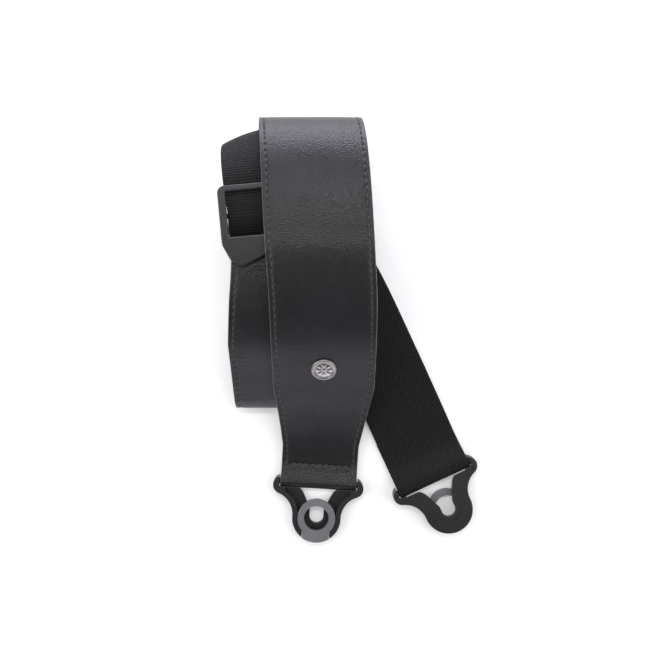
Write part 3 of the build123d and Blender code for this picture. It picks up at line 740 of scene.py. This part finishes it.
for name, slot in (("slider_frame", "slider_metal"), ("front_connector_body", "connector_plastic"),
                   ("rear_connector_body", "connector_plastic"), ("front_lock_ring", "lock_plastic"),
                   ("rear_lock_ring", "lock_plastic"), ("front_pivot_pin", "rivet_steel"),
                   ("rear_pivot_pin", "rivet_steel"), ("front_lock_spring", "spring_steel"),
                   ("rear_lock_spring", "spring_steel"), ("badge_rivet_post", "rivet_steel"),
                   ("badge_rivet_washer", "rivet_steel")):
    dress(nodes[name], slot)

for obj, slot, replaced in ((face, "leather_face", "leather_face"),
                            (backing, "leather_backing", "leather_backing"),
                            (pieces["left"], "stitch_thread", "edge_stitching_left"),
                            (pieces["right"], "stitch_thread", "edge_stitching_right"),
                            (cross_front, "stitch_thread", "front_fold_stitching"),
                            (cross_rear, "stitch_thread", "slider_fold_stitching"),
                            (webbing, "webbing", "webbing"),
                            (web_thread, "stitch_thread", "webbing_fold_stitching"),
                            (badge, "badge_metal", "badge_cap")):
    dress(obj, slot)
    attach(obj, "strap")
    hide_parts(replaced)


# ================================================================ floor, light, camera
def floor():
    mesh = bpy.data.meshes.new("floor")
    r = FLOOR_HALF
    corners = [(x, y, FLOOR_Z) for x, y in ((-r, -r), (r, -r), (r, r), (-r, r))]
    mesh.from_pydata(corners, [], [(0, 1, 2, 3)])
    obj = bpy.data.objects.new("floor", mesh)
    bpy.context.scene.collection.objects.link(obj)
    m = Nodes("pale_floor")
    m.set(Base_Color=(0.92, 0.92, 0.92, 1.0), Roughness=0.9, Specular_IOR_Level=0.1,
          Emission_Color=(1.0, 1.0, 1.0, 1.0), Emission_Strength=0.22)
    mesh.materials.append(m.material)


def area_light(name, at, aim, size, power, tint=(1.0, 1.0, 1.0)):
    data = bpy.data.lights.new(name, "AREA")
    data.shape, data.size, data.size_y, data.energy = "RECTANGLE", size[0], size[1], power
    data.color = tint
    obj = bpy.data.objects.new(name, data)
    obj.location = at
    obj.rotation_euler = (Vector(aim) - Vector(at)).to_track_quat("-Z", "Y").to_euler()
    obj.visible_camera = False
    bpy.context.scene.collection.objects.link(obj)


COOL = (1.0, 0.945, 1.12)          # a faint violet cast from the panels in front and behind
floor()
area_light("left_softbox", (-1.15, 0.0, 0.95), (0, 0, 0), (1.0, 1.5), 11.0)
area_light("right_softbox", (1.15, 0.0, 0.95), (0, 0, 0), (1.0, 1.5), 9.5)
area_light("front_panel", (0.0, -1.15, 0.075), (0, 0, 0.03), (1.8, 0.13), 3.2, COOL)
area_light("back_panel", (0.0, 1.05, 0.18), (0, 0, 0.05), (1.8, 0.26), 13.0, COOL)
area_light("upper_back_panel", (0.0, 0.95, 0.75), (0, 0, 0.05), (1.4, 0.5), 1.4, COOL)
area_light("top_strip", (0.0, 0.44, 0.95), (0, 0.06, 0.05), (0.6, 0.10), 2.7)

world = bpy.data.worlds.new("studio")
world.use_nodes = True
w_nodes, w_links = world.node_tree.nodes, world.node_tree.links
w_split = w_nodes.new("ShaderNodeSeparateXYZ")
w_ramp = w_nodes.new("ShaderNodeValToRGB")
w_ramp.color_ramp.elements[0].position, w_ramp.color_ramp.elements[0].color = 0.0, (0.95, 0.95, 0.95, 1)
w_ramp.color_ramp.elements[1].position, w_ramp.color_ramp.elements[1].color = 1.0, (0.2, 0.2, 0.2, 1)
w_ramp.color_ramp.elements.new(0.3).color = (0.5, 0.5, 0.5, 1)
w_ramp.color_ramp.elements.new(0.6).color = (0.2, 0.2, 0.2, 1)
w_links.new(w_nodes.new("ShaderNodeTexCoord").outputs["Generated"], w_split.inputs[0])
w_links.new(w_split.outputs["Z"], w_ramp.inputs["Fac"])
w_links.new(w_ramp.outputs["Color"], w_nodes["Background"].inputs["Color"])
w_nodes["Background"].inputs["Strength"].default_value = 1.0
bpy.context.scene.world = world
bpy.context.scene.view_settings.view_transform = "Standard"

camera_data = bpy.data.cameras.new("camera")
camera_data.sensor_width = 36.0
camera_data.angle = 2 * atan(HALF_VIEW / CAMERA_HEIGHT)
camera_data.clip_start, camera_data.clip_end = 0.01, 20.0
camera = bpy.data.objects.new("camera", camera_data)
camera.location = to_metres((0.0, 0.0, CAMERA_HEIGHT))
bpy.context.scene.collection.objects.link(camera)
bpy.context.scene.camera = camera
